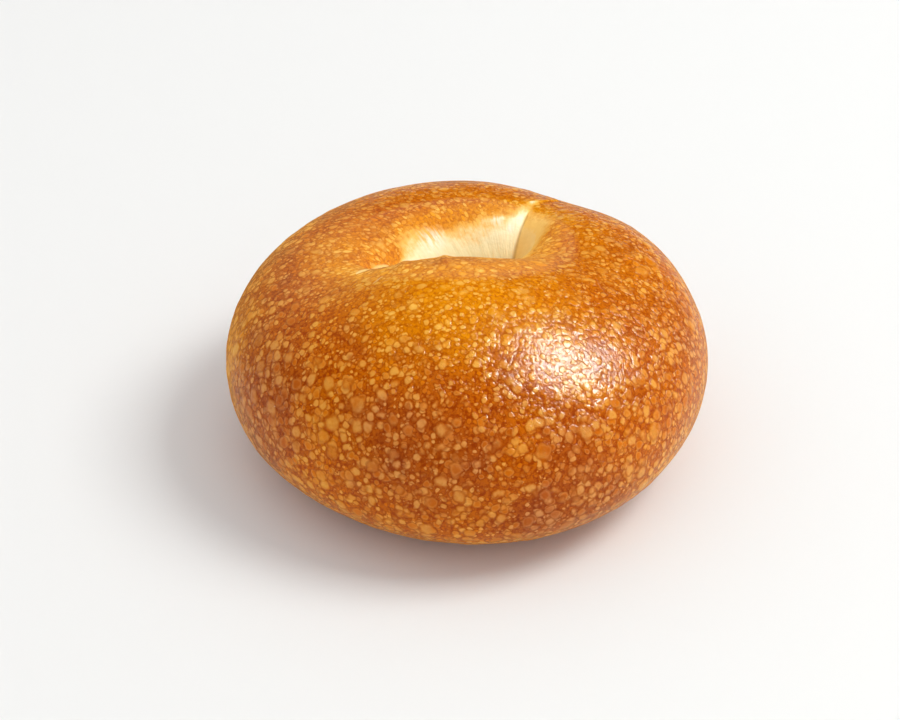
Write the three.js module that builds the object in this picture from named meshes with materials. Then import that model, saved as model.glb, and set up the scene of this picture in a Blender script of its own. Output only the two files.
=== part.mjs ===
// A plain bagel: a rope of dough joined into a ring, then boiled and baked. It has risen
// until the hole is a narrow slit, and the joint of the rope shows as a V-shaped crease in
// the hole's back wall. Its front stands taller than its back.
//
// Millimetres and degrees. +Z is up, the front faces -Y, and the bagel stands on its flat
// underside with the origin below its middle.
//
// The ring is a sweep of one section. Each section starts on the wall of the hole, rises
// over the crown, comes down round the belly and goes back under the foot to the wall.
import * as THREE from "three";

// Outline of the rim, seen from above.
const HALF_WIDTH = 57;
const HALF_DEPTH = 57;
const RIM_POWER = 1.94; // 2 makes an ellipse, and less makes a slightly leaner one
const RIM_SWELLS = [
  { at: -62, grows: 1.3, spread: 26 },
  { at: -128, grows: -1.0, spread: 24 },
  { at: 58, grows: -2.2, spread: 18 },
];

// Outline of the hole at its waist: a leaf with two pointed ends.
const SLIT = { x: -2.5, y: 12.6, halfLength: 13.5, halfWidth: 5.5, turn: 24, pointedness: 0.6 };
const RIGHT_END = 64; // the rim angle that each end of the leaf faces
const LEFT_END = 188;

// The section, for the front, the two sides and the back of the ring.
const CROWN_HEIGHT = { front: 55, side: 46.5, back: 45 };
const CROWN_SWELLS = [
  { at: 60, grows: -1.8, spread: 22 },
  { at: 205, grows: -1.6, spread: 24 },
];
const CROWN_ACROSS = { front: 0.33, side: 0.36, back: 0.34 }; // 0 is the wall, 1 the rim
const BELLY_HEIGHT = { front: 18.5, side: 22, back: 24 };
const WAIST_HEIGHT = 24;
const BLEND_POWER = 1.3; // 2 changes evenly round the ring, and less keeps the front broad
const FOOT_FROM = 0.16;
const FOOT_TO = 0.5;

// How full each quarter of the section is: 2 is an ellipse, and more is squarer.
const OUTER_SHOULDER = { front: 2.0, side: 2.0, back: 2.12 };
const OUTER_SWELLS = [
  { at: 38, grows: 0.22, spread: 32 },
  { at: 118, grows: 0.1, spread: 24 },
];
const INNER_SHOULDER = { front: 2.45, side: 2.2, back: 2.2 };
const INNER_SWELLS = [{ at: 40, grows: -0.7, spread: 25 }];
const OUTER_HEEL = 2.15;
const INNER_HEEL = 2.2;

// Creases where the dough is joined: a groove down the wall, and its tail over the crown.
const CREASES = [
  { at: RIGHT_END, depth: 1.5, reach: 3, tail: { depth: 0.9, reach: 1.2, across: 0.3, spread: 0.12 } },
  { at: LEFT_END, depth: 0.8, reach: 2, tail: { depth: 0.8, reach: 1, across: 0.1, spread: 0.1 } },
];
const CREASE_LIMIT = { across: 0.22, fade: 0.05 }; // the groove ends this far from the wall
const CREASE_BOTTOM = { from: 18, to: 26 }; // the heights between which it fades in
const TAIL_BOTTOM = 30;

const COLUMNS = 90; // sections round the ring
const ROWS = 44; // points round a section

const radians = THREE.MathUtils.degToRad;

// The signed angle from one direction to another, in degrees.
function angleBetween(from, to) {
  return THREE.MathUtils.euclideanModulo(to - from + 180, 360) - 180;
}

function swellAt(swells, angle) {
  return swells.reduce((sum, { at, grows, spread }) => {
    return sum + grows * Math.exp(-((angleBetween(at, angle) / spread) ** 2));
  }, 0);
}

// A value that changes smoothly round the ring: front is -90 degrees and back is 90.
function blend({ front, side, back }, angle) {
  const towardsBack = Math.sin(radians(angle));
  const end = towardsBack < 0 ? front : back;
  return side + (end - side) * Math.abs(towardsBack) ** BLEND_POWER;
}

function rimPoint(angle) {
  const x = Math.cos(radians(angle));
  const y = Math.sin(radians(angle));
  const spread = Math.abs(x / HALF_WIDTH) ** RIM_POWER + Math.abs(y / HALF_DEPTH) ** RIM_POWER;
  const radius = spread ** (-1 / RIM_POWER) + swellAt(RIM_SWELLS, angle);
  return new THREE.Vector2(radius * x, radius * y);
}

// The point of the hole's wall that faces the rim at this angle. The back wall has fewer
// degrees of the rim to share than the front wall, so the turn along the leaf is stretched.
function wallPoint(angle) {
  const middle = (RIGHT_END + LEFT_END) / 2;
  const half = radians((LEFT_END - RIGHT_END) / 2);
  const stretch = (Math.PI / 2 - half) / Math.sin(half);
  const fromMiddle = radians(angle - middle);
  const along = Math.PI / 2 + fromMiddle + stretch * Math.sin(fromMiddle);
  const side = Math.sin(along);
  const point = new THREE.Vector2(
    SLIT.halfLength * Math.cos(along),
    SLIT.halfWidth * Math.sign(side) * Math.abs(side) ** (1 + SLIT.pointedness),
  );
  const origin = new THREE.Vector2();
  return point.rotateAround(origin, radians(SLIT.turn)).add(new THREE.Vector2(SLIT.x, SLIT.y));
}

// A quarter of a superellipse, from one angle of it to another.
class Quarter extends THREE.Curve {
  constructor(centre, reach, rise, fullness, from, to) {
    super();
    Object.assign(this, { centre, reach, rise, fullness, from, to });
  }

  getPoint(t, target = new THREE.Vector2()) {
    const angle = radians(THREE.MathUtils.lerp(this.from, this.to, t));
    const power = 2 / this.fullness;
    const across = Math.max(Math.cos(angle), 0) ** power;
    const up = Math.max(Math.sin(angle), 0) ** power;
    return target.set(this.centre.x + this.reach * across, this.centre.y + this.rise * up);
  }
}

// The section at one angle, as evenly spaced points: x across from the wall, y up.
function sectionPoints(angle, across) {
  const crown = blend(CROWN_HEIGHT, angle) + swellAt(CROWN_SWELLS, angle);
  const crownX = across * blend(CROWN_ACROSS, angle);
  const belly = blend(BELLY_HEIGHT, angle);
  const inner = blend(INNER_SHOULDER, angle) + swellAt(INNER_SWELLS, angle);
  const outer = blend(OUTER_SHOULDER, angle) + swellAt(OUTER_SWELLS, angle);
  const footFrom = new THREE.Vector2(across * FOOT_FROM, 0);
  const footTo = new THREE.Vector2(across * FOOT_TO, 0);

  const overWall = new THREE.Vector2(crownX, WAIST_HEIGHT);
  const overBelly = new THREE.Vector2(crownX, belly);
  const overHeel = new THREE.Vector2(footTo.x, belly);
  const overInnerHeel = new THREE.Vector2(footFrom.x, WAIST_HEIGHT);

  const section = new THREE.CurvePath();
  section.add(new Quarter(overWall, -crownX, crown - WAIST_HEIGHT, inner, 0, 90));
  section.add(new Quarter(overBelly, across - crownX, crown - belly, outer, 90, 0));
  section.add(new Quarter(overHeel, across - footTo.x, -belly, OUTER_HEEL, 0, 90));
  section.add(new THREE.LineCurve(footTo, footFrom));
  section.add(new Quarter(overInnerHeel, -footFrom.x, -WAIST_HEIGHT, INNER_HEEL, 90, 0));
  return section.getSpacedPoints(ROWS).slice(0, ROWS);
}

// One column of the ring: its points, their outward normals and how far across each is.
function column(angle) {
  const wall = wallPoint(angle);
  const rim = rimPoint(angle);
  const width = wall.distanceTo(rim);
  const outwards = rim.clone().sub(wall).normalize();
  const section = sectionPoints(angle, width);
  return section.map((point, row) => {
    const before = section[(row + ROWS - 1) % ROWS];
    const after = section[(row + 1) % ROWS];
    const along = after.clone().sub(before).normalize();
    return {
      position: new THREE.Vector3(
        wall.x + outwards.x * point.x,
        wall.y + outwards.y * point.x,
        point.y,
      ),
      normal: new THREE.Vector3(-outwards.x * along.y, -outwards.y * along.y, along.x),
      across: point.x / width,
    };
  });
}

// How deep a crease is at a point that lies this far from it.
function creaseDepth(crease, away, across, height) {
  const onWall = 1 / (1 + Math.exp((across - CREASE_LIMIT.across) / CREASE_LIMIT.fade));
  const above = THREE.MathUtils.clamp(
    THREE.MathUtils.inverseLerp(CREASE_BOTTOM.from, CREASE_BOTTOM.to, height), 0, 1);
  const groove = crease.depth * onWall * above * Math.exp(-away / crease.reach);
  if (height < TAIL_BOTTOM) {
    return groove;
  }
  const { tail } = crease;
  const overCrown = Math.exp(-(((across - tail.across) / tail.spread) ** 2));
  return groove + tail.depth * overCrown * Math.exp(-away / tail.reach);
}

// The ring's surface, as columns and rows that close on themselves both ways.
function ringGeometry() {
  const creases = CREASES.map((crease) => ({ ...crease, line: column(crease.at) }));
  const positions = [];
  for (let c = 0; c < COLUMNS; c++) {
    const points = column((c * 360) / COLUMNS);
    points.forEach(({ position, normal, across }, row) => {
      const depth = creases.reduce((sum, crease) => {
        const away = position.distanceTo(crease.line[row].position);
        return sum + creaseDepth(crease, away, across, position.z);
      }, 0);
      positions.push(...position.clone().addScaledVector(normal, -depth).toArray());
    });
  }

  const faces = [];
  for (let c = 0; c < COLUMNS; c++) {
    for (let row = 0; row < ROWS; row++) {
      const next = ((c + 1) % COLUMNS) * ROWS;
      const here = c * ROWS;
      const up = (row + 1) % ROWS;
      faces.push(here + row, here + up, next + up);
      faces.push(here + row, next + up, next + row);
    }
  }

  const geometry = new THREE.BufferGeometry();
  geometry.setAttribute("position", new THREE.Float32BufferAttribute(positions, 3));
  geometry.setIndex(faces);
  geometry.computeBoundingBox();
  const middle = geometry.boundingBox.getCenter(new THREE.Vector3());
  geometry.translate(-middle.x, -middle.y, 0);
  geometry.computeVertexNormals();
  return geometry;
}

const bagel = new THREE.Mesh(
  ringGeometry(),
  new THREE.MeshStandardMaterial({ color: 0xc47a35, roughness: 0.45, metalness: 0 }),
);
bagel.name = "bagel";

const part = new THREE.Group();
part.add(bagel);

export default part;
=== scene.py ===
"""A plain bagel with a blistered golden crust, standing on a pale floor.

The bagel is a ring swept by one section, which changes on the way round: tall and full at
the front, lower at the back, round a hole that has risen to a narrow turned slit. Its crust
carries round blisters of many sizes. The largest are raised in the mesh, and the same
pattern colours them. Metres and degrees, +Z up, with the front towards -Y.
"""

from __future__ import annotations

import logging
import math
from dataclasses import dataclass, field
from enum import Enum

import bpy
import numpy as np
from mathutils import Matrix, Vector


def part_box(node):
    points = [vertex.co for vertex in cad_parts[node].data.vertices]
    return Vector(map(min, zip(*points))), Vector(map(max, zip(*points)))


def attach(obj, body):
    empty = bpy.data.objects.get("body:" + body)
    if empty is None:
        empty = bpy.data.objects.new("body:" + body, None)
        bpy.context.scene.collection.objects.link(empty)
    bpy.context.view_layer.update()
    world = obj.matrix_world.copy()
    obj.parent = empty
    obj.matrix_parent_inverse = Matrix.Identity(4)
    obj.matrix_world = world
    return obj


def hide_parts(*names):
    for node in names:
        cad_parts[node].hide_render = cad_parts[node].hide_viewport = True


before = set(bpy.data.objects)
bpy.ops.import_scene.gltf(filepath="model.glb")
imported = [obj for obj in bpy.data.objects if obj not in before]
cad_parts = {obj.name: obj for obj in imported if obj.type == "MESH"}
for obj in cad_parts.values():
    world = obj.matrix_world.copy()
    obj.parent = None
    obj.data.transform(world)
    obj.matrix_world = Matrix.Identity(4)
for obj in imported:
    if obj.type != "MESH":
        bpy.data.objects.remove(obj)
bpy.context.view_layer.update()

LOG = logging.getLogger("bagel")

FULL_TURN = 360.0
NOISE_MIDDLE = 0.5
QUARTER_POINTS = 80

Colour = tuple[float, float, float]
Point = tuple[float, float, float]


# ---------------------------------------------------------------------------------------
# Node trees
# ---------------------------------------------------------------------------------------


class Tree(Enum):
    """The two kinds of node tree that share the blister pattern."""

    SHADER = "ShaderNodeTree"
    GEOMETRY = "GeometryNodeTree"


@dataclass(frozen=True)
class Value:
    """A number that a node puts out, for use in Python expressions."""

    graph: Graph
    socket: bpy.types.NodeSocket

    def __add__(self, other: Operand) -> Value:
        """Return the sum of this number and another."""
        return self.graph.maths("ADD", self, other)

    def __sub__(self, other: Operand) -> Value:
        """Return this number less another."""
        return self.graph.maths("SUBTRACT", self, other)

    def __rsub__(self, other: Operand) -> Value:
        """Return another number less this one."""
        return self.graph.maths("SUBTRACT", other, self)

    def __mul__(self, other: Operand) -> Value:
        """Return the product of this number and another."""
        return self.graph.maths("MULTIPLY", self, other)

    def __truediv__(self, other: Operand) -> Value:
        """Return this number divided by another."""
        return self.graph.maths("DIVIDE", self, other)

    def swing(self, by: float) -> Value:
        """Return how far this noise is from its middle, times a number."""
        return (self - NOISE_MIDDLE) * by

    __radd__ = __add__
    __rmul__ = __mul__


Operand = Value | float


@dataclass(frozen=True)
class Graph:
    """A node tree under construction, shared by materials and Geometry Nodes."""

    tree: bpy.types.NodeTree
    kind: Tree

    def node(
        self,
        kind: str,
        settings: dict[str, object] | None = None,
        inputs: dict[str | int, object] | None = None,
    ) -> bpy.types.Node:
        """Add any node.

        Args:
            kind: The node's type, such as "ShaderNodeMath".
            settings: Its own properties, which are set before its sockets.
            inputs: Values or links for its sockets, by name or number.

        Returns:
            The new node.
        """
        made = self.tree.nodes.new(kind)
        for name, setting in (settings or {}).items():
            setattr(made, name, setting)
        for name, given in (inputs or {}).items():
            socket = made.inputs[name]
            given = given.socket if isinstance(given, Value) else given
            if isinstance(given, bpy.types.NodeSocket):
                self.tree.links.new(given, socket)
            else:
                socket.default_value = given
        return made

    def maths(self, operation: str, *operands: Operand) -> Value:
        """Return the result of a Math node on up to three numbers."""
        node = self.node("ShaderNodeMath", {"operation": operation}, dict(enumerate(operands)))
        return Value(self, node.outputs[0])

    def smooth(self, value: Operand, low: float, high: float, top: float = 1.0) -> Value:
        """Return 0 below low and top above high, with a smooth step between them."""
        node = self.node(
            "ShaderNodeMapRange",
            {"interpolation_type": "SMOOTHSTEP"},
            {"Value": value, "From Min": low, "From Max": high, "To Max": top},
        )
        return Value(self, node.outputs[0])

    def between(self, value: Operand, low: float, high: float) -> Value:
        """Return a number from 0 to 1 spread out to run from low to high."""
        node = self.node(
            "ShaderNodeMapRange", None, {"Value": value, "To Min": low, "To Max": high}
        )
        return Value(self, node.outputs[0])

    def vector(self, operation: str, *operands: object) -> bpy.types.Node:
        """Return a Vector Math node on up to three vectors."""
        return self.node(
            "ShaderNodeVectorMath", {"operation": operation}, dict(enumerate(operands))
        )

    def mix(self, factor: Operand, first: object, second: object) -> object:
        """Mix two colours.

        Args:
            factor: The share of the second colour.
            first: A colour or a colour's socket.
            second: A colour or a colour's socket.

        Returns:
            The mixed colour's socket.
        """
        # The node's colour sockets come after those for numbers and vectors.
        colours = {
            slot: (*given, 1.0) if isinstance(given, tuple) else given
            for slot, given in ((6, first), (7, second))
        }
        node = self.node("ShaderNodeMix", {"data_type": "RGBA"}, {0: factor, **colours})
        return node.outputs[2]

    def noise(self, place: object, size: float, detail: float = 2.0) -> bpy.types.Node:
        """Add a noise whose features are about one size.

        Args:
            place: The socket of the position.
            size: The distance from one feature to the next.
            detail: How many finer octaves it has.

        Returns:
            The noise node, with its number first and its colour second.
        """
        return self.node(
            "ShaderNodeTexNoise", None, {"Vector": place, "Scale": 1.0 / size, "Detail": detail}
        )

    def noise_value(self, place: object, size: float, detail: float = 2.0) -> Value:
        """Return a noise as a number of about 0.5."""
        return Value(self, self.noise(place, size, detail).outputs[0])

    def shaken(self, place: object, size: float, by: float) -> bpy.types.NodeSocket:
        """Return the socket of a position that a noise of one size has moved about."""
        shift = self.vector("SUBTRACT", self.noise(place, size).outputs[1], (NOISE_MIDDLE,) * 3)
        return self.vector("MULTIPLY_ADD", shift.outputs[0], (by,) * 3, place).outputs[0]

    def distance(self, first: object, second: object) -> Value:
        """Return the distance between two positions."""
        return Value(self, self.vector("DISTANCE", first, second).outputs["Value"])

    def drawn_out(self, grain: object, share: float) -> bpy.types.NodeSocket:
        """Return the socket of the grain, shrunk to a share so that patterns stretch along it."""
        return self.vector("MULTIPLY", grain, (1.0, 1.0, share)).outputs[0]

    def attribute(self, name: str) -> Value:
        """Read one of the mesh's numbers.

        Args:
            name: The attribute's name.

        Returns:
            The number.
        """
        if self.kind is Tree.SHADER:
            node = self.node("ShaderNodeAttribute", {"attribute_name": name})
            return Value(self, node.outputs["Fac"])
        node = self.node("GeometryNodeInputNamedAttribute", None, {"Name": name})
        return Value(self, node.outputs[0])

    def vector_attribute(self, name: str) -> bpy.types.NodeSocket:
        """Read one of the mesh's vectors.

        Args:
            name: The attribute's name.

        Returns:
            The vector's socket.
        """
        if self.kind is Tree.SHADER:
            return self.node("ShaderNodeAttribute", {"attribute_name": name}).outputs["Vector"]
        vector = {"data_type": "FLOAT_VECTOR"}
        return self.node("GeometryNodeInputNamedAttribute", vector, {"Name": name}).outputs[0]


@dataclass(frozen=True)
class Ramp:
    """A mask that rises smoothly with a number, from 0 at low to its share at high."""

    low: float
    high: float
    share: float = 1.0

    def on(self, value: Value) -> Value:
        """Return the mask of a number."""
        return value.graph.smooth(value, self.low, self.high, self.share)

    def off(self, value: Value) -> Value:
        """Return what the mask of a number leaves of 1."""
        return 1.0 - self.on(value)


# ---------------------------------------------------------------------------------------
# The dough's form
# ---------------------------------------------------------------------------------------


def bell(away: np.ndarray, spread: float | np.ndarray) -> np.ndarray:
    """Return 1 where a distance is 0, and less the longer it is."""
    return np.exp(-((away / spread) ** 2))


def angle_between(start: float, end: np.ndarray) -> np.ndarray:
    """Return the signed angle from one direction to others, in degrees."""
    return (end - start + FULL_TURN / 2) % FULL_TURN - FULL_TURN / 2


@dataclass(frozen=True)
class Swell:
    """A place where a size grows or shrinks, as a bell-shaped bump round the ring."""

    at: float
    grows: float
    spread: float

    def around(self, angle: np.ndarray) -> np.ndarray:
        """Return what this swell adds at each ring angle."""
        return self.grows * bell(angle_between(self.at, angle), self.spread)


@dataclass(frozen=True)
class Around:
    """A size that changes smoothly from the front of the ring to its sides and its back."""

    front: float
    side: float
    back: float
    swells: tuple[Swell, ...] = ()
    power: float = 1.3

    def at(self, angle: np.ndarray) -> np.ndarray:
        """Work out the size, with its swells.

        Args:
            angle: The ring angle of each place.

        Returns:
            The size at each place.
        """
        to_back = np.sin(np.radians(angle))
        end = np.where(to_back < 0, self.front, self.back)
        size = self.side + (end - self.side) * np.abs(to_back) ** self.power
        return size + sum(swell.around(angle) for swell in self.swells)


@dataclass(frozen=True)
class Rim:
    """The outline of the ring, seen from above."""

    half_width: float = 0.057
    half_depth: float = 0.057
    power: float = 1.94
    swells: tuple[Swell, ...] = (
        Swell(at=-62, grows=0.0013, spread=26),
        Swell(at=-128, grows=-0.001, spread=24),
        Swell(at=58, grows=-0.0022, spread=18),
    )

    def points(self, angle: np.ndarray) -> np.ndarray:
        """Work out the outline's points in plan.

        Args:
            angle: The ring angle of each point.

        Returns:
            The points, one a row.
        """
        x, y = np.cos(np.radians(angle)), np.sin(np.radians(angle))
        spread = np.abs(x / self.half_width) ** self.power
        spread = spread + np.abs(y / self.half_depth) ** self.power
        radius = spread ** (-1 / self.power) + sum(s.around(angle) for s in self.swells)
        return np.stack([radius * x, radius * y], axis=-1)


@dataclass(frozen=True)
class Slit:
    """The outline of the hole at its waist: a turned leaf with two pointed ends."""

    centre: tuple[float, float] = (-0.0025, 0.0126)
    half_length: float = 0.0135
    half_width: float = 0.0055
    turn: float = 24.0
    pointedness: float = 0.6
    right_end: float = 64.0
    left_end: float = 188.0

    def along(self, angle: np.ndarray) -> np.ndarray:
        """Work out how far round the leaf the wall is that faces each ring angle.

        The leaf's ends face the ring angles right_end and left_end, so the turn along the
        leaf is stretched on the back wall, which has fewer degrees of the ring.

        Args:
            angle: The ring angles.

        Returns:
            The turns along the leaf, in radians.
        """
        middle = (self.right_end + self.left_end) / 2
        half = math.radians((self.left_end - self.right_end) / 2)
        stretch = (math.pi / 2 - half) / math.sin(half)
        from_middle = np.radians(angle - middle)
        return math.pi / 2 + from_middle + stretch * np.sin(from_middle)

    def points(self, angle: np.ndarray) -> np.ndarray:
        """Work out the leaf's points in plan.

        Args:
            angle: The ring angle that each point faces.

        Returns:
            The points, one a row.
        """
        along = self.along(angle)
        side = np.sin(along)
        u = self.half_length * np.cos(along)
        v = self.half_width * np.sign(side) * np.abs(side) ** (1 + self.pointedness)
        turn = math.radians(self.turn)
        x = self.centre[0] + u * math.cos(turn) - v * math.sin(turn)
        y = self.centre[1] + u * math.sin(turn) + v * math.cos(turn)
        return np.stack([x, y], axis=-1)


@dataclass(frozen=True)
class Crease:
    """A line where the dough is joined: a groove down the wall, a tail over the crown, and painted
    shade down it.
    """

    at: float
    depth: float
    reach: float
    tail_depth: float
    tail_reach: float
    tail_across: float
    tail_spread: float
    darkness: float

    # The groove ends about this far across, and fades in between two heights on the wall.
    ENDS_ACROSS = 0.22
    ENDS_OVER = 0.05
    STARTS_LOW = 0.018
    STARTS_HIGH = 0.026
    TAIL_LOW = 0.030
    # The dark line of painted shade ends this far across, and is wider the nearer the wall it is.
    LINE_ENDS_ACROSS = 0.42
    LINE_FADES_OVER = 0.1
    LINE_NARROW = 0.0003
    LINE_WIDENS = 0.0005

    def cut(self, away: np.ndarray, across: np.ndarray, height: np.ndarray) -> np.ndarray:
        """Work out how deep the crease is.

        Args:
            away: The distance of each point from the crease's line.
            across: How far each point is from the wall, as a share of the section.
            height: The height of each point.

        Returns:
            The depth at each point.
        """
        on_wall = 1 / (1 + np.exp((across - self.ENDS_ACROSS) / self.ENDS_OVER))
        rise = (height - self.STARTS_LOW) / (self.STARTS_HIGH - self.STARTS_LOW)
        groove = self.depth * on_wall * np.clip(rise, 0, 1) * np.exp(-away / self.reach)
        over = bell(across - self.tail_across, self.tail_spread)
        tail = self.tail_depth * over * np.exp(-away / self.tail_reach)
        return groove + np.where(height < self.TAIL_LOW, 0.0, tail)

    def line(self, away: np.ndarray, across: np.ndarray) -> np.ndarray:
        """Work out the painted shade along the crease's line, which narrows on its way up the
        wall.

        Args:
            away: The distance of each point from the crease's line.
            across: How far each point is from the wall, as a share of the section.

        Returns:
            The darkness at each point.
        """
        short_of_end = np.clip(self.LINE_ENDS_ACROSS - across, 0, None)
        width = self.LINE_NARROW + self.LINE_WIDENS * short_of_end
        fade = np.clip(short_of_end / self.LINE_FADES_OVER, 0, 1)
        return self.darkness * fade * bell(away, width)


@dataclass(frozen=True)
class Mark:
    """A short straight feature of the dough: a pleat, a small ridge or a fold's edge.

    Its lift raises the dough, or cuts it where it is below zero. Pale says how much bare dough
    it shows, and on one small ridge a painted glint; dark is painted shade in a groove.
    """

    start: Point
    end: Point
    width: float
    lift: float = 0.0
    pale: float = 0.0
    dark: float = 0.0

    def near(self, points: np.ndarray) -> np.ndarray:
        """Work out how near points are to the mark.

        Args:
            points: The points, one a row.

        Returns:
            A bell-shaped number for each point: 1 on the mark's line, 0 far from it.
        """
        start = np.array(self.start)
        run = np.array(self.end) - start
        share = np.clip((points - start) @ run / (run @ run), 0, 1)
        away = np.linalg.norm(points - start - share[..., None] * run, axis=-1)
        return bell(away, self.width)


def quarter(
    centre: tuple[float, float], reach: float, rise: float, fullness: float, outward: bool
) -> np.ndarray:
    """Trace a quarter of a superellipse in a section.

    Args:
        centre: The quarter's centre, across and up.
        reach: Its signed radius across.
        rise: Its signed radius up.
        fullness: 2 for an ellipse, and more for a squarer corner.
        outward: Whether it starts at its side, and not at its top or bottom.

    Returns:
        Its points, one a row.
    """
    angle = np.linspace(0, math.pi / 2, QUARTER_POINTS)
    across = np.clip(np.cos(angle), 0, None) ** (2 / fullness)
    across[-1] = 0.0
    up = np.sin(angle) ** (2 / fullness)
    points = np.stack([centre[0] + reach * across, centre[1] + rise * up], axis=-1)
    return points if outward else points[::-1]


@dataclass(frozen=True)
class Section:
    """The section of the ring, from the hole's wall over the crown and back under the foot."""

    crown_height: Around = Around(
        front=0.055,
        side=0.0465,
        back=0.045,
        swells=(Swell(at=60, grows=-0.0018, spread=22), Swell(at=205, grows=-0.0016, spread=24)),
    )
    crown_across: Around = Around(front=0.33, side=0.36, back=0.34)
    belly_height: Around = Around(front=0.0185, side=0.022, back=0.024)
    outer_shoulder: Around = Around(
        front=2.0,
        side=2.0,
        back=2.12,
        swells=(Swell(at=38, grows=0.22, spread=32), Swell(at=118, grows=0.1, spread=24)),
    )
    inner_shoulder: Around = Around(
        front=2.45, side=2.2, back=2.2, swells=(Swell(at=40, grows=-0.7, spread=25),)
    )
    waist_height: float = 0.024
    foot_from: float = 0.16
    foot_to: float = 0.5
    outer_heel: float = 2.15
    inner_heel: float = 2.2
    thins_below: float = 0.5
    foot_thinning: float = 0.5

    def trace(self, angle: float, across: float, rows: int) -> np.ndarray:
        """Trace the section at one ring angle.

        Args:
            angle: The ring angle.
            across: The width from the wall to the rim.
            rows: How many points to place.

        Returns:
            The points, across and up, evenly spaced but for the foot, which has fewer.
        """
        here = np.array(angle)
        crown = float(self.crown_height.at(here))
        crown_x = across * float(self.crown_across.at(here))
        belly = float(self.belly_height.at(here))
        outer = float(self.outer_shoulder.at(here))
        inner = float(self.inner_shoulder.at(here))
        foot_from, foot_to = across * self.foot_from, across * self.foot_to
        waist = self.waist_height
        pieces = [
            quarter((crown_x, waist), -crown_x, crown - waist, inner, True),
            quarter((crown_x, belly), across - crown_x, crown - belly, outer, False),
            quarter((foot_to, belly), across - foot_to, -belly, self.outer_heel, True),
            quarter((foot_from, waist), -foot_from, -waist, self.inner_heel, False),
        ]
        path = np.concatenate([*pieces, pieces[0][:1]])
        steps = np.linalg.norm(np.diff(path, axis=0), axis=1)
        low = (path[:-1, 1] + path[1:, 1]) / 2 < self.thins_below * belly
        weights = np.where(low, self.foot_thinning, 1.0)
        weighted = np.concatenate([[0.0], np.cumsum(weights * steps)])
        spots = np.linspace(0, weighted[-1], rows, endpoint=False)
        return np.stack([np.interp(spots, weighted, path[:, axis]) for axis in (0, 1)], axis=-1)


@dataclass(frozen=True)
class Reach:
    """How far something goes out of the hole, where 0 is the wall and 1 is the crown."""

    full_to: float
    fades_over: float

    def at(self, out: np.ndarray) -> np.ndarray:
        """Return 1 as far as it is full, and less past that."""
        return bell(np.clip(out - self.full_to, 0, None), self.fades_over)


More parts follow.
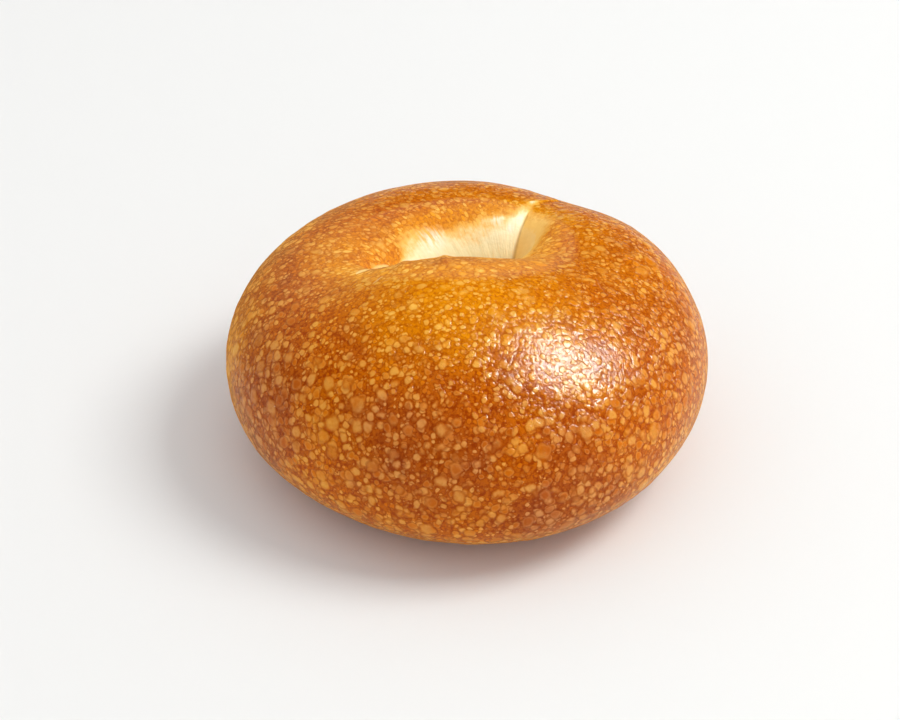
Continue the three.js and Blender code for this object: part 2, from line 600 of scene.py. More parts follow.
@dataclass
class Dough:
    """The bare dough ring: a grid of columns round the ring and rows round each section."""

    rim: Rim = Rim()
    slit: Slit = Slit()
    section: Section = Section()
    creases: tuple[Crease, ...] = (
        Crease(
            at=64,
            depth=0.0015,
            reach=0.003,
            tail_depth=0.0009,
            tail_reach=0.0012,
            tail_across=0.3,
            tail_spread=0.12,
            darkness=0.8,
        ),
        Crease(
            at=188,
            depth=0.0008,
            reach=0.002,
            tail_depth=0.0008,
            tail_reach=0.001,
            tail_across=0.1,
            tail_spread=0.1,
            darkness=0.4,
        ),
    )
    marks: tuple[Mark, ...] = (
        # The pale band beside the join of the dough.
        Mark((0.0158, 0.0335, 0.0432), (0.0120, 0.0265, 0.0418), 0.0020, pale=0.20),
        # The fold that carries the crease over the crown, and the groove under it, darkened with
        # painted shadow.
        Mark((0.0160, 0.0338, 0.0432), (0.0222, 0.0378, 0.0408), 0.0007, lift=0.0003, pale=0.30),
        Mark((0.0160, 0.0328, 0.0432), (0.0222, 0.0366, 0.0412), 0.0006, lift=-0.0003, dark=0.5),
        # The golden crust behind the hole's left end.
        Mark((-0.0215, 0.0050, 0.0425), (-0.0185, 0.0120, 0.0410), 0.0036, pale=-0.26),
        # A small ridge above the pale wall, whose paler spot is a painted glint.
        Mark((0.0042, 0.0261, 0.0425), (0.0086, 0.0269, 0.0428), 0.0007, lift=0.0002, pale=0.10),
        # Two pleats on the front lip.
        Mark((-0.0139, -0.0030, 0.0495), (-0.0150, -0.0090, 0.0530), 0.0013, lift=0.0005),
        Mark((-0.0052, -0.0040, 0.0515), (-0.0055, -0.0090, 0.0541), 0.0012, lift=0.0006),
    )
    bare_swells: tuple[Swell, ...] = (
        Swell(at=66, grows=0.27, spread=22),
        Swell(at=44, grows=0.22, spread=14),
        Swell(at=176, grows=-0.35, spread=18),
    )
    bare_reach: Reach = Reach(full_to=0.9, fades_over=0.45)
    streak_reach: Reach = Reach(full_to=0.8, fades_over=0.65)
    # The dark line on the front lip: its place, its width and how far it runs past the sides.
    lip_out: float = 0.68
    lip_spread: float = 0.16
    lip_past_sides: float = 0.3
    vigour: float = 1.08
    loses_on_top: float = 0.26
    loses_at_hole: float = 0.22
    top_from: float = 0.038
    top_to: float = 0.050
    toast_edge: float = 4.0
    toast_reach: float = 80.0
    grain_twist: float = 0.5
    twist_reach: float = 0.010
    inset: float = 0.00018
    foot_fade: float = 0.004
    columns: int = 450
    rows: int = 220
    first_angle: float = 124.0

    points: np.ndarray = field(init=False)
    numbers: dict[str, np.ndarray] = field(init=False)
    grain: np.ndarray = field(init=False)

    def angles(self) -> np.ndarray:
        """Return the ring angle of each column."""
        return self.first_angle + np.arange(self.columns) * (FULL_TURN / self.columns)

    def sweep(self) -> None:
        """Work out the ring's points, and what each of them shows."""
        angles = self.angles()
        wall, rim = self.slit.points(angles), self.rim.points(angles)
        width = np.linalg.norm(rim - wall, axis=1)
        outwards = (rim - wall) / width[:, None]
        sections = np.stack(
            [self.section.trace(a, w, self.rows) for a, w in zip(angles, width)]
        )
        flat = np.repeat(wall[:, None], self.rows, axis=1)
        flat = flat + outwards[:, None] * sections[..., :1]
        points = np.concatenate([flat, sections[..., 1:]], axis=-1)
        along = np.roll(sections, -1, axis=1) - np.roll(sections, 1, axis=1)
        along = along / np.linalg.norm(along, axis=-1, keepdims=True)
        normal = np.concatenate([-outwards[:, None] * along[..., 1:], along[..., :1]], axis=-1)

        across = sections[..., 0] / width[:, None]
        depth = np.full(across.shape, self.inset)
        lines = np.zeros(across.shape)
        for crease in self.creases:
            column = int(np.argmin(np.abs(angle_between(crease.at, angles))))
            away = np.linalg.norm(points - points[column], axis=-1)
            depth = depth + crease.cut(away, across, points[..., 2])
            lines = lines + crease.line(away, across)
        depth = depth - sum(mark.lift * mark.near(points) for mark in self.marks)
        depth = depth * np.clip(points[..., 2] / self.foot_fade, 0, 1)
        self.points = points - normal * depth[..., None]
        self.measure(angles, across, sections)
        # The creases' dark lines are painted shade, added to the dark number.
        self.numbers["dark"] = self.numbers["dark"] + lines

    def measure(self, angles: np.ndarray, across: np.ndarray, sections: np.ndarray) -> None:
        """Work out what each point shows, and the run of the grain round the hole.

        Args:
            angles: The ring angle of each column.
            across: How far each point is from the wall, as a share of the section.
            sections: The sections' points, across and up.
        """
        height = sections[..., 1]
        waist = self.section.waist_height
        rise = self.section.crown_height.at(angles)[:, None] - waist
        out = across / self.section.crown_across.at(angles)[:, None]
        down = np.clip(1 - (height - waist) / rise, 0, 1)
        in_hole = np.where(out < 1, (1 - out + down) / 2, 0.0)
        above = height > waist
        front = np.clip(self.lip_past_sides - np.sin(np.radians(angles)), 0, 1)[:, None]
        lip = bell(out - self.lip_out, self.lip_spread) * front * above
        bared = sum(swell.around(angles) for swell in self.bare_swells)[:, None]
        bared = bared * self.bare_reach.at(out) * above
        streaks = self.streak_reach.at(out) * above
        high = np.clip((height - self.top_from) / (self.top_to - self.top_from), 0, 1)
        past_join = angle_between(self.slit.right_end, angles)[:, None] + np.zeros_like(across)
        toast = np.clip(0.5 - past_join / self.toast_edge, 0, 1)
        paler = sum(mark.pale * mark.near(self.points) for mark in self.marks)
        darker = sum(mark.dark * mark.near(self.points) for mark in self.marks)
        self.numbers = {
            "in_hole": in_hole,
            "toast": toast * bell(past_join, self.toast_reach),
            "pale": in_hole + bared + paler,
            "dark": lip + darker,
            "streaks": streaks,
            "vigour": self.vigour - high * self.loses_on_top - streaks * self.loses_at_hole,
        }
        steps = np.linalg.norm(np.diff(sections, axis=1, prepend=sections[:, :1]), axis=-1)
        arc = np.cumsum(steps, axis=1)
        radius = self.slit.half_length
        twist = self.grain_twist * (1 - np.exp(-arc / self.twist_reach))
        turn = self.slit.along(angles)[:, None] - twist
        self.grain = np.stack([radius * np.cos(turn), radius * np.sin(turn), arc], axis=-1)

    def mesh(self, name: str, box: tuple[Vector, Vector]) -> bpy.types.Mesh:
        """Make the grid into a closed mesh with its attributes and its flat map.

        Args:
            name: The mesh's name.
            box: The low and high corners of the solid that it replaces.

        Returns:
            The mesh, centred on the box in plan.
        """
        points = self.points.reshape(-1, 3).copy()
        middle = (points.min(axis=0) + points.max(axis=0)) / 2
        centre = (np.array(box[0]) + np.array(box[1])) / 2
        points[:, :2] += (centre - middle)[:2]

        column, row = np.meshgrid(np.arange(self.columns), np.arange(self.rows), indexing="ij")
        corners = ((0, 0), (0, 1), (1, 1), (1, 0))
        faces = np.stack(
            [
                (column + c) % self.columns * self.rows + (row + r) % self.rows
                for c, r in corners
            ],
            axis=-1,
        ).reshape(-1, 4)
        made = bpy.data.meshes.new(name)
        made.from_pydata(points, [], faces)
        spots = np.stack(
            [
                np.stack([(column + c) / self.columns, (row + r) / self.rows], axis=-1)
                for c, r in corners
            ],
            axis=-2,
        )
        made.uv_layers.new(name="OFBake").uv.foreach_set("vector", spots.astype("f").ravel())
        for title, vectors in (("rest", points), ("grain", self.grain)):
            layer = made.attributes.new(title, "FLOAT_VECTOR", "POINT")
            layer.data.foreach_set("vector", vectors.astype("f").ravel())
        for title, numbers in self.numbers.items():
            layer = made.attributes.new(title, "FLOAT", "POINT")
            layer.data.foreach_set("value", numbers.astype("f").ravel())
        return made


# ---------------------------------------------------------------------------------------
# The blisters
# ---------------------------------------------------------------------------------------


@dataclass(frozen=True)
class Pattern:
    """What one size of blister does at each point of the crust, as numbers from 0 to 1."""

    disc: Value
    core: Value
    brim: Value
    dome: Value
    moat: Value
    tone: Value


@dataclass(frozen=True)
class Blisters:
    """One size of round blister, scattered through space and cut by the crust.

    Its radius lies between least and most. Share says how many of its places have a
    blister, rise how high one stands, and solid how fully it covers what is under it. Shift
    moves its pattern away from the other sizes'.
    """

    spacing: float
    least: float
    most: float
    share: float
    rise: float
    solid: float
    shift: Point

    SCATTER = 0.9
    FINE_BELOW = 0.0008
    # The parts of a blister, by their distance from its middle: 1 is its radius.
    DISC = Ramp(0.65, 1.08)
    # The core lightens a blister's middle: painted dome shading.
    CORE = Ramp(0.5, 1.0)
    BRIM_INSIDE = Ramp(0.45, 0.8)
    BRIM_OUTSIDE = Ramp(0.85, 1.05)
    # The moat is a ring of painted shade round each blister, in the gap colour.
    MOAT = Ramp(0.9, 1.25)

    @property
    def fine(self) -> bool:
        """Say whether these blisters are so small that they only crinkle the skin."""
        return self.most < self.FINE_BELOW

    def pattern(self, graph: Graph, place: object, vigour: Value) -> Pattern:
        """Lay out the blisters.

        Args:
            graph: The tree to add the pattern to.
            place: The socket of the position on the crust.
            vigour: How large they are there, as a share of their full size.

        Returns:
            The pattern at that position.
        """
        moved = graph.vector("ADD", place, self.shift).outputs[0]
        cells = graph.node(
            "ShaderNodeTexVoronoi",
            {"voronoi_dimensions": "3D", "feature": "F1"},
            {"Vector": moved, "Scale": 1.0 / self.spacing, "Randomness": self.SCATTER},
        )
        draw = graph.node("ShaderNodeSeparateXYZ", None, {0: cells.outputs["Color"]})
        size, chance, tone = (Value(graph, output) for output in draw.outputs)
        radius = graph.between(size, self.least / self.spacing, self.most / self.spacing) * vigour
        reach = Value(graph, cells.outputs["Distance"]) / radius
        there = graph.maths("LESS_THAN", chance, self.share)
        inside = graph.maths("MINIMUM", reach, 1.0)
        squared = inside * inside
        return Pattern(
            disc=self.DISC.off(reach) * there,
            core=self.CORE.off(reach),
            brim=self.BRIM_INSIDE.on(reach) - self.BRIM_OUTSIDE.on(reach),
            dome=(1.0 - squared * squared) * there,
            moat=self.MOAT.off(reach) * there,
            tone=tone,
        )


class BlisterSize(Enum):
    """The sizes of blister on the crust, from the smallest."""

    TINY = Blisters(0.0009, 0.00028, 0.00044, 0.9, 0.00002, 0.45, (0.005, 0.016, 0.012))
    FINE = Blisters(0.0014, 0.00045, 0.00075, 0.95, 0.00006, 0.85, (0.019, 0.001, 0.008))
    MEDIUM = Blisters(0.0021, 0.00068, 0.00108, 0.85, 0.00010, 0.8, (0.002, 0.011, 0.017))
    PLUMP = Blisters(0.0025, 0.0008, 0.0012, 0.75, 0.00012, 0.8, (0.009, 0.020, 0.001))
    BROAD = Blisters(0.0032, 0.0010, 0.0015, 0.65, 0.00013, 0.75, (0.021, 0.014, 0.005))
    LARGE = Blisters(0.0050, 0.0014, 0.0021, 0.4, 0.00009, 0.65, (0.013, 0.007, 0.003))


@dataclass(frozen=True)
class Wobble:
    """How noises of two sizes bend the blisters out of round."""

    broad_size: float = 0.004
    broad: float = 0.0016
    fine_size: float = 0.0012
    fine: float = 0.0007
    mottle_size: float = 0.0045
    surge: float = 1.4

    def bend(self, graph: Graph, place: object) -> bpy.types.NodeSocket:
        """Return the socket of a position on the crust, moved about for the blisters."""
        moved = graph.shaken(place, self.broad_size, self.broad)
        return graph.shaken(moved, self.fine_size, self.fine)

    def mottle(self, graph: Graph, place: object) -> Value:
        """Return the slow noise that goes with how strongly the crust has blistered."""
        return graph.noise_value(place, self.mottle_size, detail=4.0)

    def vigour(self, mottle: Value, usual: Operand) -> Value:
        """Return how large the blisters are, as a share of their full size."""
        return mottle.swing(self.surge) + usual


@dataclass(frozen=True)
class CrustRelief:
    """The Geometry Nodes tree that raises the largest blisters and the skin's slow waves."""

    raised: tuple[BlisterSize, ...] = (BlisterSize.LARGE,)
    wobble: Wobble = Wobble()
    wave_size: float = 0.009
    wave_height: float = 0.00018
    wrinkle_size: float = 0.0016
    wrinkle_stretch: float = 0.12
    wrinkle_depth: float = 0.00014
    blisters_end: Ramp = Ramp(0.3, 0.6)
    above_foot: Ramp = Ramp(0.0002, 0.002)

    def tree(self, material: bpy.types.Material) -> bpy.types.NodeTree:
        """Build the tree.

        Args:
            material: The crust's material.

        Returns:
            The tree, with named inputs for its sizes.
        """
        made = bpy.data.node_groups.new("crust relief", Tree.GEOMETRY.value)
        made.interface.new_socket("Geometry", in_out="INPUT", socket_type="NodeSocketGeometry")
        for title in ("Blister Height", "Wave Height", "Wrinkle Depth"):
            made.interface.new_socket(title, in_out="INPUT", socket_type="NodeSocketFloat")
        made.interface.new_socket("Geometry", in_out="OUTPUT", socket_type="NodeSocketGeometry")
        graph = Graph(made, Tree.GEOMETRY)
        given = graph.node("NodeGroupInput")
        blister_height, wave_height, wrinkle_depth = (
            Value(graph, given.outputs[title])
            for title in ("Blister Height", "Wave Height", "Wrinkle Depth")
        )
        place = graph.vector_attribute("rest")
        height = graph.noise_value(place, self.wave_size).swing(2.0) * wave_height
        spots = self.wobble.bend(graph, place)
        vigour = self.wobble.vigour(self.wobble.mottle(graph, place), graph.attribute("vigour"))
        on_crust = self.blisters_end.off(graph.attribute("in_hole"))
        for size in self.raised:
            dome = size.value.pattern(graph, spots, vigour).dome
            height = height + dome * size.value.rise * blister_height * on_crust
        grain = graph.drawn_out(graph.vector_attribute("grain"), self.wrinkle_stretch)
        wrinkles = graph.noise_value(grain, self.wrinkle_size, detail=3.0).swing(2.0)
        height = height + wrinkles * wrinkle_depth * graph.attribute("streaks")
        above = graph.node("ShaderNodeSeparateXYZ", None, {0: place})
        height = height * self.above_foot.on(Value(graph, above.outputs["Z"]))

        normal = graph.node("GeometryNodeInputNormal")
        offset = graph.vector("SCALE", normal.outputs[0])
        made.links.new(height.socket, offset.inputs["Scale"])
        moved = graph.node(
            "GeometryNodeSetPosition",
            None,
            {"Geometry": given.outputs["Geometry"], "Offset": offset.outputs[0]},
        )
        smooth = graph.node("GeometryNodeSetShadeSmooth", None, {0: moved.outputs[0]})
        real = graph.node("GeometryNodeRealizeInstances", None, {0: smooth.outputs[0]})
        dressed = graph.node(
            "GeometryNodeSetMaterial", None, {0: real.outputs[0], "Material": material}
        )
        graph.node("NodeGroupOutput", None, {0: dressed.outputs[0]})
        return made

    def raise_on(self, bare: bpy.types.Object, material: bpy.types.Material) -> bpy.types.Mesh:
        """Raise the relief on a bare ring.

        Args:
            bare: The object that holds the bare ring.
            material: The crust's material.

        Returns:
            The finished mesh.
        """
        modifier = bare.modifiers.new("crust relief", "NODES")
        modifier.node_group = self.tree(material)
        sizes = {
            "Blister Height": 1.0,
            "Wave Height": self.wave_height,
            "Wrinkle Depth": self.wrinkle_depth,
        }
        for item in modifier.node_group.interface.items_tree:
            if item.in_out == "INPUT" and item.name in sizes:
                modifier[item.identifier] = sizes[item.name]
        seen = bare.evaluated_get(bpy.context.evaluated_depsgraph_get())
        made = bpy.data.meshes.new_from_object(seen)
        bare.modifiers.remove(modifier)
        return made


# ---------------------------------------------------------------------------------------
# The finish
# ---------------------------------------------------------------------------------------


@dataclass(frozen=True)
class Skin:
    """What the crust's material reads at each point.

    Mottle, fleck and lines are noises: a slow one, a fine one and one along the grain.
    """

    graph: Graph
    place: bpy.types.NodeSocket
    grain: bpy.types.NodeSocket
    pale: Value
    dark: Value
    streaks: Value
    mottle: Value
    fleck: Value
    lines: Value


@dataclass(frozen=True)
class Patch:
    """A place on the crust where something is stronger than elsewhere."""

    centre: Point
    radius: float
    strength: float

    FULL_TO = 0.25
    GONE_BY = 1.4

    def at(self, graph: Graph, place: object) -> Value:
        """Return the patch's strength at a position."""
        edge = Ramp(self.FULL_TO * self.radius, self.GONE_BY * self.radius)
        return edge.off(graph.distance(place, self.centre)) * self.strength


def patched(graph: Graph, place: object, patches: tuple[Patch, ...]) -> Value:
    """Return the sum of the patches' strengths at a position."""
    return sum((patch.at(graph, place) for patch in patches), start=0.0)


@dataclass(frozen=True)
class Bake:
    """Where the crust is golden and lit, and where it is browned and shaded.

    Both shares are partly real bake and partly painted light and shade. Golden places are
    spared some of the browning, and dark lines, partly painted shade, are darkened more.
    """

    # Partly deeper bake, partly painted shade: on the lower front, on the left side away from the
    # lamps, and beside the highlight on the right.
    browned_and_shaded: tuple[Patch, ...] = (
        Patch((-0.047, -0.027, 0.028), 0.017, 0.85),
        Patch((-0.010, -0.052, 0.033), 0.018, 0.60),
        Patch((0.023, -0.052, 0.022), 0.016, 0.75),
        Patch((0.046, -0.026, 0.020), 0.020, 0.20),
        Patch((0.042, -0.014, 0.040), 0.014, 0.2),
        Patch((-0.040, -0.001, 0.044), 0.014, 0.25),
    )
    # Partly lighter bake, partly painted light: on the top, under the highlight and along the left
    # edge.
    golden_and_lit: tuple[Patch, ...] = (
        Patch((-0.002, -0.014, 0.054), 0.026, 0.95),
        Patch((0.000, 0.026, 0.044), 0.020, 0.32),
        Patch((-0.022, 0.004, 0.045), 0.016, 1.0),
        Patch((0.020, 0.018, 0.045), 0.014, 0.4),
        Patch((0.022, -0.034, 0.046), 0.013, 0.45),
        Patch((0.037, 0.002, 0.044), 0.016, 0.2),
        Patch((-0.056, -0.010, 0.027), 0.013, 0.6),
    )
    drift_size: float = 0.012
    drift: float = 0.014
    golden_at_hole: Ramp = Ramp(0.0, 0.25)
    golden_mottle: Ramp = Ramp(0.5, 0.7, share=0.15)
    blotch_size: float = 0.010
    blotches: Ramp = Ramp(0.48, 0.7, share=0.45)
    golden_spares: float = 0.18
    dark_deepens: float = 0.5

    def at(self, skin: Skin) -> tuple[Value, Value]:
        """Work out how golden and lit, and how browned and shaded, the crust is.

        Args:
            skin: What the material reads at each point.

        Returns:
            The golden and lit share and the browned and shaded share.
        """
        graph = skin.graph
        drift = graph.shaken(skin.place, self.drift_size, self.drift)
        golden_and_lit = patched(graph, drift, self.golden_and_lit) + self.golden_at_hole.on(skin.pale)
        golden_and_lit = graph.maths("MINIMUM", golden_and_lit + self.golden_mottle.on(skin.mottle), 1.0)
        blotch = graph.noise_value(skin.place, self.blotch_size, detail=3.0)
        browned_and_shaded = patched(graph, drift, self.browned_and_shaded) + skin.dark * self.dark_deepens
        browned_and_shaded = browned_and_shaded + self.blotches.on(blotch) - golden_and_lit * self.golden_spares
        return golden_and_lit, graph.maths("MINIMUM", browned_and_shaded, 1.0)


@dataclass(frozen=True)
class Shade:
    """One colour of the crust, with its golden and lit and its browned and shaded versions, which
    carry painted light and shade.
    """

    plain: Colour
    golden_and_lit: Colour
    browned_and_shaded: Colour

    def at(self, graph: Graph, golden_and_lit: Value, browned_and_shaded: Value) -> object:
        """Return the colour's socket where the crust is golden and lit, and browned and shaded, by
        so much.
        """
        return graph.mix(browned_and_shaded, graph.mix(golden_and_lit, self.plain, self.golden_and_lit), self.browned_and_shaded)


@dataclass(frozen=True)
class Tones:
    """The sockets of the crust's colours: between blisters, on them and where they are pale."""

    gap: object
    bubble: object
    tan: object


@dataclass(frozen=True)
class Blistering:
    """The amber skin, packed with every size of blister."""

    gap: Shade = Shade((0.36, 0.046, 0.000), (0.57, 0.142, 0.000), (0.26, 0.035, 0.002))
    bubble: Shade = Shade((0.73, 0.183, 0.000), (0.89, 0.345, 0.001), (0.52, 0.108, 0.012))
    tan: Shade = Shade((0.89, 0.405, 0.060), (0.98, 0.560, 0.095), (0.78, 0.335, 0.100))
    streaked: Blisters = Blisters(
        0.0010, 0.00030, 0.00050, 0.9, 0.00006, 0.9, (0.007, 0.003, 0.009)
    )
    streaked_layer: int = 2
    streak_stretch: float = 0.38
    streaks_thin: float = 0.3
    wobble: Wobble = Wobble()
    crust_ends: Ramp = Ramp(0.32, 0.5)
    gap_flecks: Ramp = Ramp(0.35, 0.6, share=0.6)
    top_flecks: Ramp = Ramp(0.45, 0.7, share=0.35)
    tone: Ramp = Ramp(0.1, 0.75)
    tone_swing: float = 1.6
    brim_share: float = 0.4
    moat_share: float = 0.6

    def tones(self, graph: Graph, golden_and_lit: Value, browned_and_shaded: Value) -> Tones:
        """Return the crust's colours where it is golden and lit, and browned and shaded, by so
        much.
        """
        shades = (self.gap, self.bubble, self.tan)
        return Tones(*(shade.at(graph, golden_and_lit, browned_and_shaded) for shade in shades))

    def top(self, skin: Skin, tones: Tones, blisters: Pattern, fine: bool) -> object:
        """Colour the tops of one size of blister.

        Args:
            skin: What the material reads at each point.
            tones: The crust's colours there.
            blisters: What the blisters do there.
            fine: Whether they are too small for their brims to show.

        Returns:
            The colour's socket.
        """
        tone = self.tone.on(blisters.tone + skin.mottle.swing(self.tone_swing))
        # Pale tops at random, lighter in the middle by the core, which is painted dome shading.
        pale_and_lit = tone * blisters.core
        if not fine:
            pale_and_lit = pale_and_lit + (1.0 - tone) * blisters.brim * self.brim_share
        top = skin.graph.mix(pale_and_lit, tones.bubble, tones.tan)
        return skin.graph.mix(self.top_flecks.on(skin.fleck), top, tones.bubble)

    def cover(self, skin: Skin, tones: Tones) -> tuple[object, Value]:
        """Cover the skin with blisters, from the smallest size to the largest.

        Args:
            skin: What the material reads at each point.
            tones: The crust's colours there.

        Returns:
            The colour's socket, and the height of the blisters.
        """
        graph = skin.graph
        crust = self.crust_ends.off(skin.pale)
        spots = self.wobble.bend(graph, skin.place)
        rounds = crust * (1.0 - skin.streaks * self.streaks_thin)
        layers = [(size.value, spots, rounds) for size in BlisterSize]
        along = graph.drawn_out(skin.grain, self.streak_stretch)
        layers.insert(self.streaked_layer, (self.streaked, along, crust * skin.streaks))
        fine_vigour = self.wobble.vigour(skin.mottle, 1.0)
        vigour = self.wobble.vigour(skin.mottle, graph.attribute("vigour"))
        colour = graph.mix(self.gap_flecks.on(skin.fleck), tones.gap, tones.bubble)
        relief: Operand = 0.0
        crinkle: Operand = 0.0
        for size, spot, share in layers:
            blisters = size.pattern(graph, spot, fine_vigour if size.fine else vigour)
            top = self.top(skin, tones, blisters, size.fine)
            # Painted shade: the moat darkens the skin round each blister.
            colour = graph.mix(blisters.moat * share * self.moat_share, colour, tones.gap)
            colour = graph.mix(blisters.disc * share * size.solid, colour, top)
            raised = blisters.dome * share * size.rise
            if size.fine:
                crinkle = raised + crinkle
            else:
                relief = graph.maths("MAXIMUM", raised, relief)
        return colour, relief + crinkle


@dataclass(frozen=True)
class BareDough:
    """The creamy dough in the hole, with its ragged golden edge against the crust and spots of
    painted glare.
    """

    cream: Colour = (0.98, 0.88, 0.58)
    straw: Colour = (0.98, 0.60, 0.16)
    shadow: Colour = (0.52, 0.30, 0.07)
    # Painted glare: the whitest colour, laid on spots of the cream where a highlight shines.
    painted_glare: Colour = (1.0, 0.98, 0.88)
    gold: Colour = (0.88, 0.36, 0.004)
    painted_glare_spots: tuple[Patch, ...] = (
        Patch((-0.0090, 0.0225, 0.0395), 0.0038, 0.9),
        Patch((0.0073, 0.0264, 0.0427), 0.0014, 0.5),
        Patch((0.0108, 0.0252, 0.0412), 0.0012, 0.6),
    )
    ragged_by_mottle: float = 0.3
    ragged_by_lines: float = 0.13
    ragged_by_flecks: float = 0.1
    golden_edge: Ramp = Ramp(0.2, 0.38, share=0.5)
    bare: Ramp = Ramp(0.24, 0.48)
    creamy: Ramp = Ramp(0.37, 0.57)
    toasted: float = 0.85
    straw_lines: Ramp = Ramp(0.5, 0.75, share=0.25)
    shaded: Ramp = Ramp(0.2, 1.0, share=0.8)
    glare_lines: Ramp = Ramp(0.35, 0.6)

    def cover(self, skin: Skin, crust: object) -> object:
        """Lay the bare dough over the crust's colour.

        Args:
            skin: What the material reads at each point.
            crust: The socket of the crust's colour.

        Returns:
            The colour's socket.
        """
        graph = skin.graph
        ragged = skin.pale + skin.mottle.swing(self.ragged_by_mottle)
        ragged = ragged + skin.lines.swing(self.ragged_by_lines)
        ragged = ragged + skin.fleck.swing(self.ragged_by_flecks)
        creamy = self.creamy.on(ragged) - graph.attribute("toast") * self.toasted
        wall = graph.mix(creamy, self.straw, self.cream)
        wall = graph.mix(self.straw_lines.on(skin.lines), wall, self.straw)
        wall = graph.mix(self.shaded.on(skin.dark), wall, self.shadow)
        # Painted glare on the cream, streaked along the grain.
        glare = patched(graph, skin.place, self.painted_glare_spots) * self.glare_lines.on(skin.lines)
        wall = graph.mix(glare, wall, self.painted_glare)
        edged = graph.mix(self.golden_edge.on(ragged), crust, self.gold)
        return graph.mix(self.bare.on(ragged), edged, wall)


@dataclass(frozen=True)
class Gloss:
    """How the crust shines: glossy on top, and matt beside the hole and where it turns away."""

    least_rough: float = 0.08
    most_rough: float = 0.20
    turned_away: Ramp = Ramp(0.65, 1.0, share=0.35)
    streaked: Ramp = Ramp(0.7, 1.0, share=0.8)
    moist: Ramp = Ramp(0.36, 0.48, share=0.4)
    matt: tuple[Patch, ...] = (Patch((-0.036, 0.006, 0.040), 0.030, 0.6),)
    specular: float = 0.09
    sheen: float = 0.30
    sheen_roughness: float = 0.4
    sheen_tint: Colour = (1.0, 0.70, 0.10)

    def roughness(self, skin: Skin) -> Value:
        """Work out how rough the surface is.

        Args:
            skin: What the material reads at each point.

        Returns:
            The roughness.
        """
        graph = skin.graph
        facing = graph.node("ShaderNodeLayerWeight").outputs["Facing"]
        rough = graph.between(skin.fleck, self.least_rough, self.most_rough)
        rough = rough + self.turned_away.on(Value(graph, facing))
        rough = rough + self.streaked.on(skin.streaks) - self.moist.on(skin.pale)
        return rough + patched(graph, skin.place, self.matt)


@dataclass(frozen=True)
class Stroke:
    """A scratch or pleat in the crust's skin that is too fine for the mesh."""

    start: Point
    end: Point
    width: float
    lift: float = 0.0
    dark: float = 0.0
    pale: float = 0.0

    BOWED = 3.4
    AT_TIPS = 0.15
    FULL_TO = 0.3

    def near(self, graph: Graph, place: object) -> Value:
        """Work out how near a position is to the stroke, which narrows to both its tips.

        Args:
            graph: The material's tree.
            place: The socket of the position.

        Returns:
            A number that is 1 on the stroke's line and 0 past its width.
        """
        start = Vector(self.start)
        run = Vector(self.end) - start
        reach = graph.vector("SUBTRACT", place, tuple(start)).outputs[0]
        share = graph.vector("DOT_PRODUCT", reach, tuple(run / run.length_squared))
        share = graph.maths("MAXIMUM", Value(graph, share.outputs["Value"]), 0.0)
        share = graph.maths("MINIMUM", share, 1.0)
        nearest = graph.node(
            "ShaderNodeVectorMath", {"operation": "SCALE"}, {0: tuple(run), "Scale": share}
        )
        narrowed = share * (1.0 - share) * self.BOWED + self.AT_TIPS
        away = graph.distance(reach, nearest.outputs[0]) / narrowed
        return Ramp(self.FULL_TO * self.width, self.width).off(away)


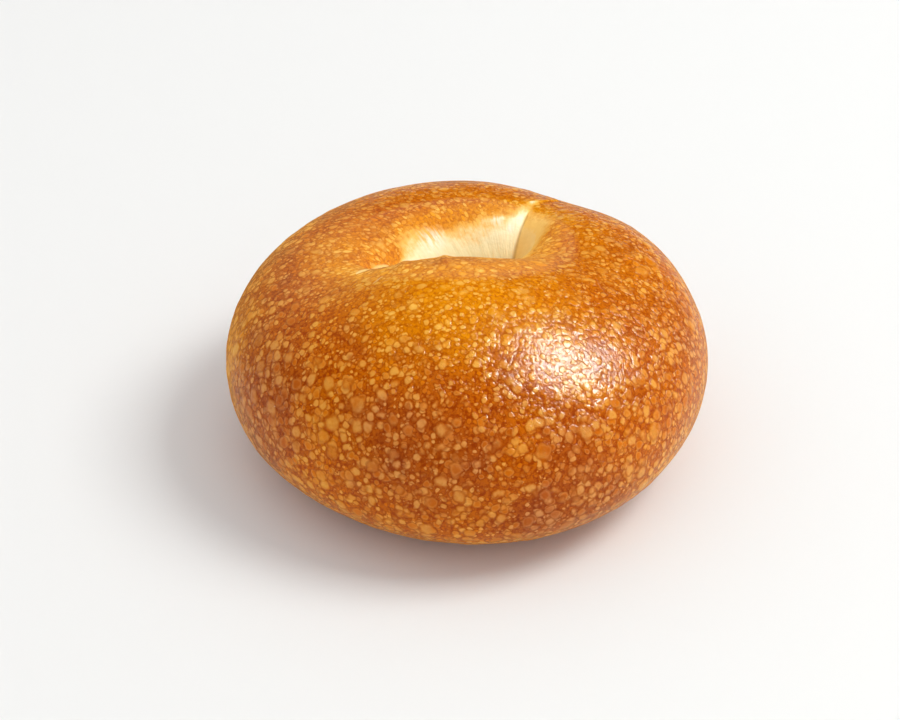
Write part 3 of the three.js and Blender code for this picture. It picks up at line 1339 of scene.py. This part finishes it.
@dataclass(frozen=True)
class CrustFinish:
    """The baked crust: amber skin packed with blisters, and creamy dough inside the hole."""

    bake: Bake = Bake()
    blistering: Blistering = Blistering()
    bare_dough: BareDough = BareDough()
    gloss: Gloss = Gloss()
    split: Colour = (1.0, 0.72, 0.28)
    strokes: tuple[Stroke, ...] = (
        # The stretch mark at the hole's left end, on both sides of the small crease.
        Stroke((-0.0255, -0.0044, 0.0482), (-0.0222, -0.0002, 0.0472), 0.0016, pale=0.9),
        Stroke((-0.0226, 0.0048, 0.0427), (-0.0180, 0.0104, 0.0405), 0.0010, pale=0.8),
        # Three short scratches that meet, on the front to the right.
        Stroke((0.0181, -0.0407, 0.0441), (0.0203, -0.0421, 0.0422), 0.0005, -0.00005, pale=0.7),
        Stroke((0.0207, -0.0398, 0.0437), (0.0205, -0.0425, 0.0418), 0.0003, -0.00005, pale=0.5),
        Stroke((0.0239, -0.0383, 0.0433), (0.0211, -0.0413, 0.0425), 0.0003, -0.00005, dark=0.4),
        # Pleats that run out from the hole over the front lip.
        Stroke((-0.0268, -0.0117, 0.0492), (-0.0244, -0.0079, 0.0494), 0.0005, -0.00012, dark=0.7),
        Stroke((-0.0217, -0.0137, 0.0514), (-0.0189, -0.0105, 0.0519), 0.0004, -0.00010, pale=0.4),
        Stroke((-0.0143, -0.0201, 0.0534), (-0.0121, -0.0176, 0.0540), 0.0005, -0.00012, dark=0.6),
        Stroke((0.0228, -0.0110, 0.0501), (0.0248, -0.0147, 0.0496), 0.0004, -0.00010, dark=0.5),
        Stroke((0.0295, -0.0057, 0.0476), (0.0317, -0.0119, 0.0472), 0.0008, -0.00010, dark=0.5),
    )
    stroke_bend_size: float = 0.0014
    stroke_bend: float = 0.0003
    fleck_size: float = 0.0009
    fleck_rise: float = 0.00013
    grain_size: float = 0.0005
    grain_stretch: float = 0.14
    grain_rise: float = 0.00012

    def skin(self, graph: Graph) -> Skin:
        """Read the mesh's attributes, and add the noises that several parts share.

        Args:
            graph: The material's tree.

        Returns:
            What the material reads at each point.
        """
        place = graph.vector_attribute("rest")
        grain = graph.vector_attribute("grain")
        drawn = graph.drawn_out(grain, self.grain_stretch)
        return Skin(
            graph=graph,
            place=place,
            grain=grain,
            pale=graph.attribute("pale"),
            dark=graph.attribute("dark"),
            streaks=graph.attribute("streaks"),
            mottle=self.blistering.wobble.mottle(graph, place),
            fleck=graph.noise_value(place, self.fleck_size, detail=3.0),
            lines=graph.noise_value(drawn, self.grain_size, detail=3.0),
        )

    def scratch(
        self, skin: Skin, gap: object, colour: object, height: Value
    ) -> tuple[object, Value]:
        """Draw the strokes on the crust.

        Args:
            skin: What the material reads at each point.
            gap: The socket of the colour that a dark stroke shows.
            colour: The socket of the colour under the strokes.
            height: The height under them.

        Returns:
            The colour's socket and the height, with the strokes.
        """
        graph = skin.graph
        bent = graph.shaken(skin.place, self.stroke_bend_size, self.stroke_bend)
        for stroke in self.strokes:
            near = stroke.near(graph, bent)
            colour = graph.mix(near * stroke.dark, colour, gap)
            colour = graph.mix(near * stroke.pale, colour, self.split)
            height = height + near * stroke.lift
        return colour, height

    def material(self, name: str) -> bpy.types.Material:
        """Build the material.

        Args:
            name: The material's name.

        Returns:
            The material, on a single Principled shader.
        """
        made = bpy.data.materials.new(name)
        made.use_nodes = True
        made.node_tree.nodes.clear()
        graph = Graph(made.node_tree, Tree.SHADER)
        skin = self.skin(graph)
        tones = self.blistering.tones(graph, *self.bake.at(skin))
        colour, height = self.blistering.cover(skin, tones)
        colour = self.bare_dough.cover(skin, colour)
        colour, height = self.scratch(skin, tones.gap, colour, height)
        height = height + skin.fleck.swing(self.fleck_rise)
        height = height + skin.lines.swing(self.grain_rise) * skin.streaks
        bump = graph.node(
            "ShaderNodeBump", None, {"Strength": 1.0, "Distance": 1.0, "Height": height}
        )
        shader = graph.node(
            "ShaderNodeBsdfPrincipled",
            None,
            {
                "Base Color": colour,
                "Roughness": self.gloss.roughness(skin),
                "Normal": bump.outputs[0],
                "Specular IOR Level": self.gloss.specular,
                "Sheen Weight": self.gloss.sheen,
                "Sheen Roughness": self.gloss.sheen_roughness,
                "Sheen Tint": (*self.gloss.sheen_tint, 1.0),
            },
        )
        graph.node("ShaderNodeOutputMaterial", None, {"Surface": shader.outputs[0]})
        return made


# ---------------------------------------------------------------------------------------
# The bagel and the studio
# ---------------------------------------------------------------------------------------


@dataclass
class Bagel:
    """The whole bagel: dough, crust relief and finish."""

    dough: Dough = field(default_factory=Dough)
    relief: CrustRelief = CrustRelief()
    finish: CrustFinish = CrustFinish()
    name: str = "bagel_crust"
    node: str = "bagel"
    slot: str = "crust"

    def build(self) -> bpy.types.Object:
        """Build and dress the bagel, and set it in the frame.

        Returns:
            The finished piece.
        """
        self.dough.sweep()
        bare = bpy.data.objects.new(self.name, self.dough.mesh("dough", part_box(self.node)))
        bpy.context.scene.collection.objects.link(bare)
        material = self.finish.material("baked crust")
        bare.data = self.relief.raise_on(bare, material)
        bare.data.name = self.name
        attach(bare, "root")
        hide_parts(self.node)
        return bare


@dataclass(frozen=True)
class Lamp:
    """A square soft lamp. One that is for gloss only doesn't light matt surfaces."""

    name: str
    size: float
    power: float
    colour: Colour
    gloss_only: bool = False


@dataclass
class Studio:
    """A pale floor, soft light from the right and the camera."""

    target: Point = (-0.004, 0.0002, 0.0202)
    distance: float = 0.5255
    elevation: float = 36.3
    lens: float = 88.6
    sensor: float = 36.0
    clip_start: float = 0.01
    floor_size: float = 6.0
    floor_colour: Colour = (0.82, 0.82, 0.815)
    floor_roughness: float = 0.6
    floor_specular: float = 0.1
    world_colour: Colour = (1.0, 1.0, 1.0)
    world_strength: float = 0.78
    lamps: tuple[Lamp, ...] = (
        Lamp("key", size=0.85, power=21.0, colour=(1.0, 0.985, 0.96)),
        Lamp("gleam", size=0.98, power=410.0, colour=(0.72, 1.0, 0.96), gloss_only=True),
    )
    lamp_direction: Point = (0.62, 0.05, 0.77)
    lamp_distance: float = 2.0

    def floor(self) -> bpy.types.Object:
        """Lay the floor.

        Returns:
            The floor, a plain sheet at the bagel's foot.
        """
        half = self.floor_size / 2
        sheet = bpy.data.meshes.new("floor")
        corners = [(-half, -half, 0), (half, -half, 0), (half, half, 0), (-half, half, 0)]
        sheet.from_pydata(corners, [], [(0, 1, 2, 3)])
        laid = bpy.data.objects.new("floor", sheet)
        bpy.context.scene.collection.objects.link(laid)
        made = bpy.data.materials.new("pale floor")
        made.use_nodes = True
        shader = made.node_tree.nodes["Principled BSDF"]
        shader.inputs["Base Color"].default_value = (*self.floor_colour, 1.0)
        shader.inputs["Roughness"].default_value = self.floor_roughness
        shader.inputs["Specular IOR Level"].default_value = self.floor_specular
        sheet.materials.append(made)
        return laid

    def hang(self, lamp: Lamp) -> None:
        """Hang a lamp, facing the bagel.

        Args:
            lamp: The lamp.
        """
        light = bpy.data.lights.new(lamp.name, "AREA")
        light.size = lamp.size
        light.energy = lamp.power
        light.color = lamp.colour
        hung = bpy.data.objects.new(lamp.name, light)
        direction = Vector(self.lamp_direction).normalized()
        hung.location = Vector(self.target) + direction * self.lamp_distance
        hung.rotation_euler = (-direction).to_track_quat("-Z", "Y").to_euler()
        hung.visible_diffuse = not lamp.gloss_only
        bpy.context.scene.collection.objects.link(hung)

    def light(self) -> None:
        """Light the scene with the lamps and a pale surround that adds no gloss."""
        world = bpy.data.worlds.new("pale surround")
        world.use_nodes = True
        background = world.node_tree.nodes["Background"]
        background.inputs["Color"].default_value = (*self.world_colour, 1.0)
        background.inputs["Strength"].default_value = self.world_strength
        world.cycles_visibility.glossy = False
        bpy.context.scene.world = world
        for lamp in self.lamps:
            self.hang(lamp)
        bpy.context.scene.view_settings.view_transform = "Standard"

    def shoot(self) -> bpy.types.Object:
        """Set up the camera.

        Returns:
            The camera, which looks along +Y and down.
        """
        camera = bpy.data.cameras.new("camera")
        camera.lens = self.lens
        camera.sensor_width = self.sensor
        camera.clip_start = self.clip_start
        held = bpy.data.objects.new("camera", camera)
        tilt = math.radians(self.elevation)
        away = Vector((0.0, -math.cos(tilt), math.sin(tilt))) * self.distance
        held.location = Vector(self.target) + away
        held.rotation_euler = (math.pi / 2 - tilt, 0.0, 0.0)
        bpy.context.scene.collection.objects.link(held)
        bpy.context.scene.camera = held
        return held


def main() -> None:
    """Build the studio and the bagel, and report each."""
    logging.basicConfig(level=logging.INFO, format="%(name)s: %(message)s")
    studio = Studio()
    LOG.info("camera set: %s", studio.shoot().name)
    studio.light()
    LOG.info("floor laid: %s", studio.floor().name)
    piece = Bagel().build()
    mesh = piece.data
    LOG.info("%s: %d vertices, %d faces", piece.name, len(mesh.vertices), len(mesh.polygons))


if __name__ == "__main__":
    main()
